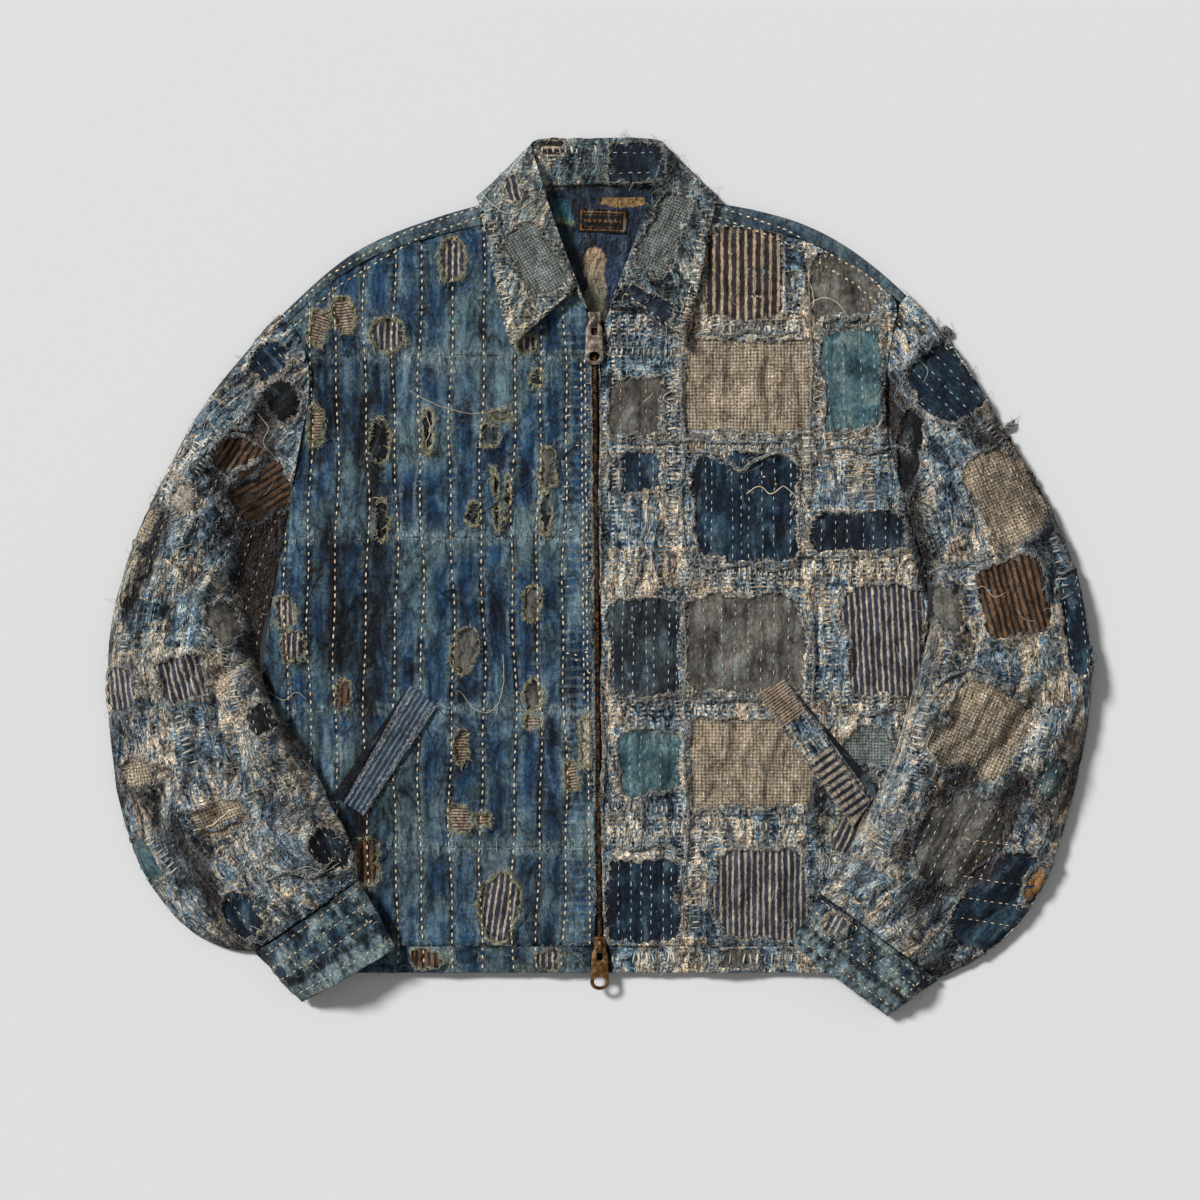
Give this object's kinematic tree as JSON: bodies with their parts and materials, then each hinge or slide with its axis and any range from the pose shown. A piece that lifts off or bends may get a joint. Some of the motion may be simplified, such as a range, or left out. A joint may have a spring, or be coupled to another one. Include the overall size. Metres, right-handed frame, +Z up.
{
  "type": "patched boro jacket",
  "caption": "Patched indigo boro zip jacket with a shirt collar, slanted pockets and cuffs, laid flat on its back with its sleeves folded in.",
  "frame": {"origin": "on the underside of the back, on the surface that the jacket lies on, below the zip at mid length", "axes": "+X to the wearer's left, +Y from the hem to the collar, +Z up off the surface"},
  "size_m": [0.791, 0.702, 0.0483],
  "materials": {
    "faded_indigo": "worn matt cotton, faded along its seams",
    "boro_gauze": "torn open weave over cotton, frayed",
    "navy_cloth": "matt cotton",
    "charcoal_cloth": "matt cotton",
    "grey_cloth": "matt cotton",
    "striped_cloth": "cream and navy stripes",
    "tan_check": "small tan check",
    "teal_cloth": "matt cotton",
    "lining": "smooth lining",
    "label_weave": "woven, brown border",
    "zip_tape": "woven tape",
    "zip_teeth": "dull, worn",
    "aged_brass": "dull, worn",
    "aged_pewter": "dull, dark in the hollows"
  },
  "bodies": {
    "jacket": {"front_right": "faded_indigo", "front_left": "boro_gauze", "back": "faded_indigo", "hem_band": "boro_gauze", "sleeve_right": "boro_gauze", "sleeve_left": "boro_gauze", "cuff_right": "faded_indigo", "cuff_left": "faded_indigo", "collar": "boro_gauze", "welt_right": "boro_gauze", "welt_left": "boro_gauze", "pocket_facing_right": "navy_cloth", "pocket_facing_left": "navy_cloth", "neck_lining": "lining", "neck_label": "label_weave", "zip_tape_right": "zip_tape", "zip_tape_left": "zip_tape", "zip_chain": "zip_teeth", "top_slider": "aged_brass", "bottom_slider": "aged_pewter", "patch_charcoal_low": "charcoal_cloth", "patch_grey_pocket": "grey_cloth", "patch_grey_shoulder": "grey_cloth", "patch_indigo_chest": "navy_cloth", "patch_indigo_hem": "navy_cloth", "patch_navy_side": "navy_cloth", "patch_ribbed": "striped_cloth", "patch_stripe_hem": "striped_cloth", "patch_stripe_window_hem": "striped_cloth", "patch_stripe_window_high": "striped_cloth", "patch_stripe_window_round": "striped_cloth", "patch_stripe_window_side": "striped_cloth", "patch_tan_check_chest": "tan_check", "patch_tan_check_low": "tan_check", "patch_teal_chest": "teal_cloth", "patch_teal_low": "teal_cloth", "patch_navy_sleeve_head": "navy_cloth", "patch_tan_check_sleeve": "tan_check", "patch_tan_check_forearm": "tan_check", "patch_ash_forearm": "grey_cloth", "patch_stripe_sleeve": "striped_cloth", "patch_stripe_elbow": "striped_cloth"},
    "top_pull": {"top_puller": "aged_pewter"},
    "bottom_pull": {"bottom_puller": "aged_pewter"}
  },
  "joints": [
    {"name": "top_pull_swing", "type": "hinge", "parent": "jacket", "child": "top_pull", "pos_m": [-0.003, 0.2028, 0.0155], "axis": [-1, 0, 0], "range_deg": [0, 150]},
    {"name": "bottom_pull_swing", "type": "hinge", "parent": "jacket", "child": "bottom_pull", "pos_m": [0.00138, -0.2945, 0.0125], "axis": [-1, 0, 0], "range_deg": [0, 150]}
  ]
}
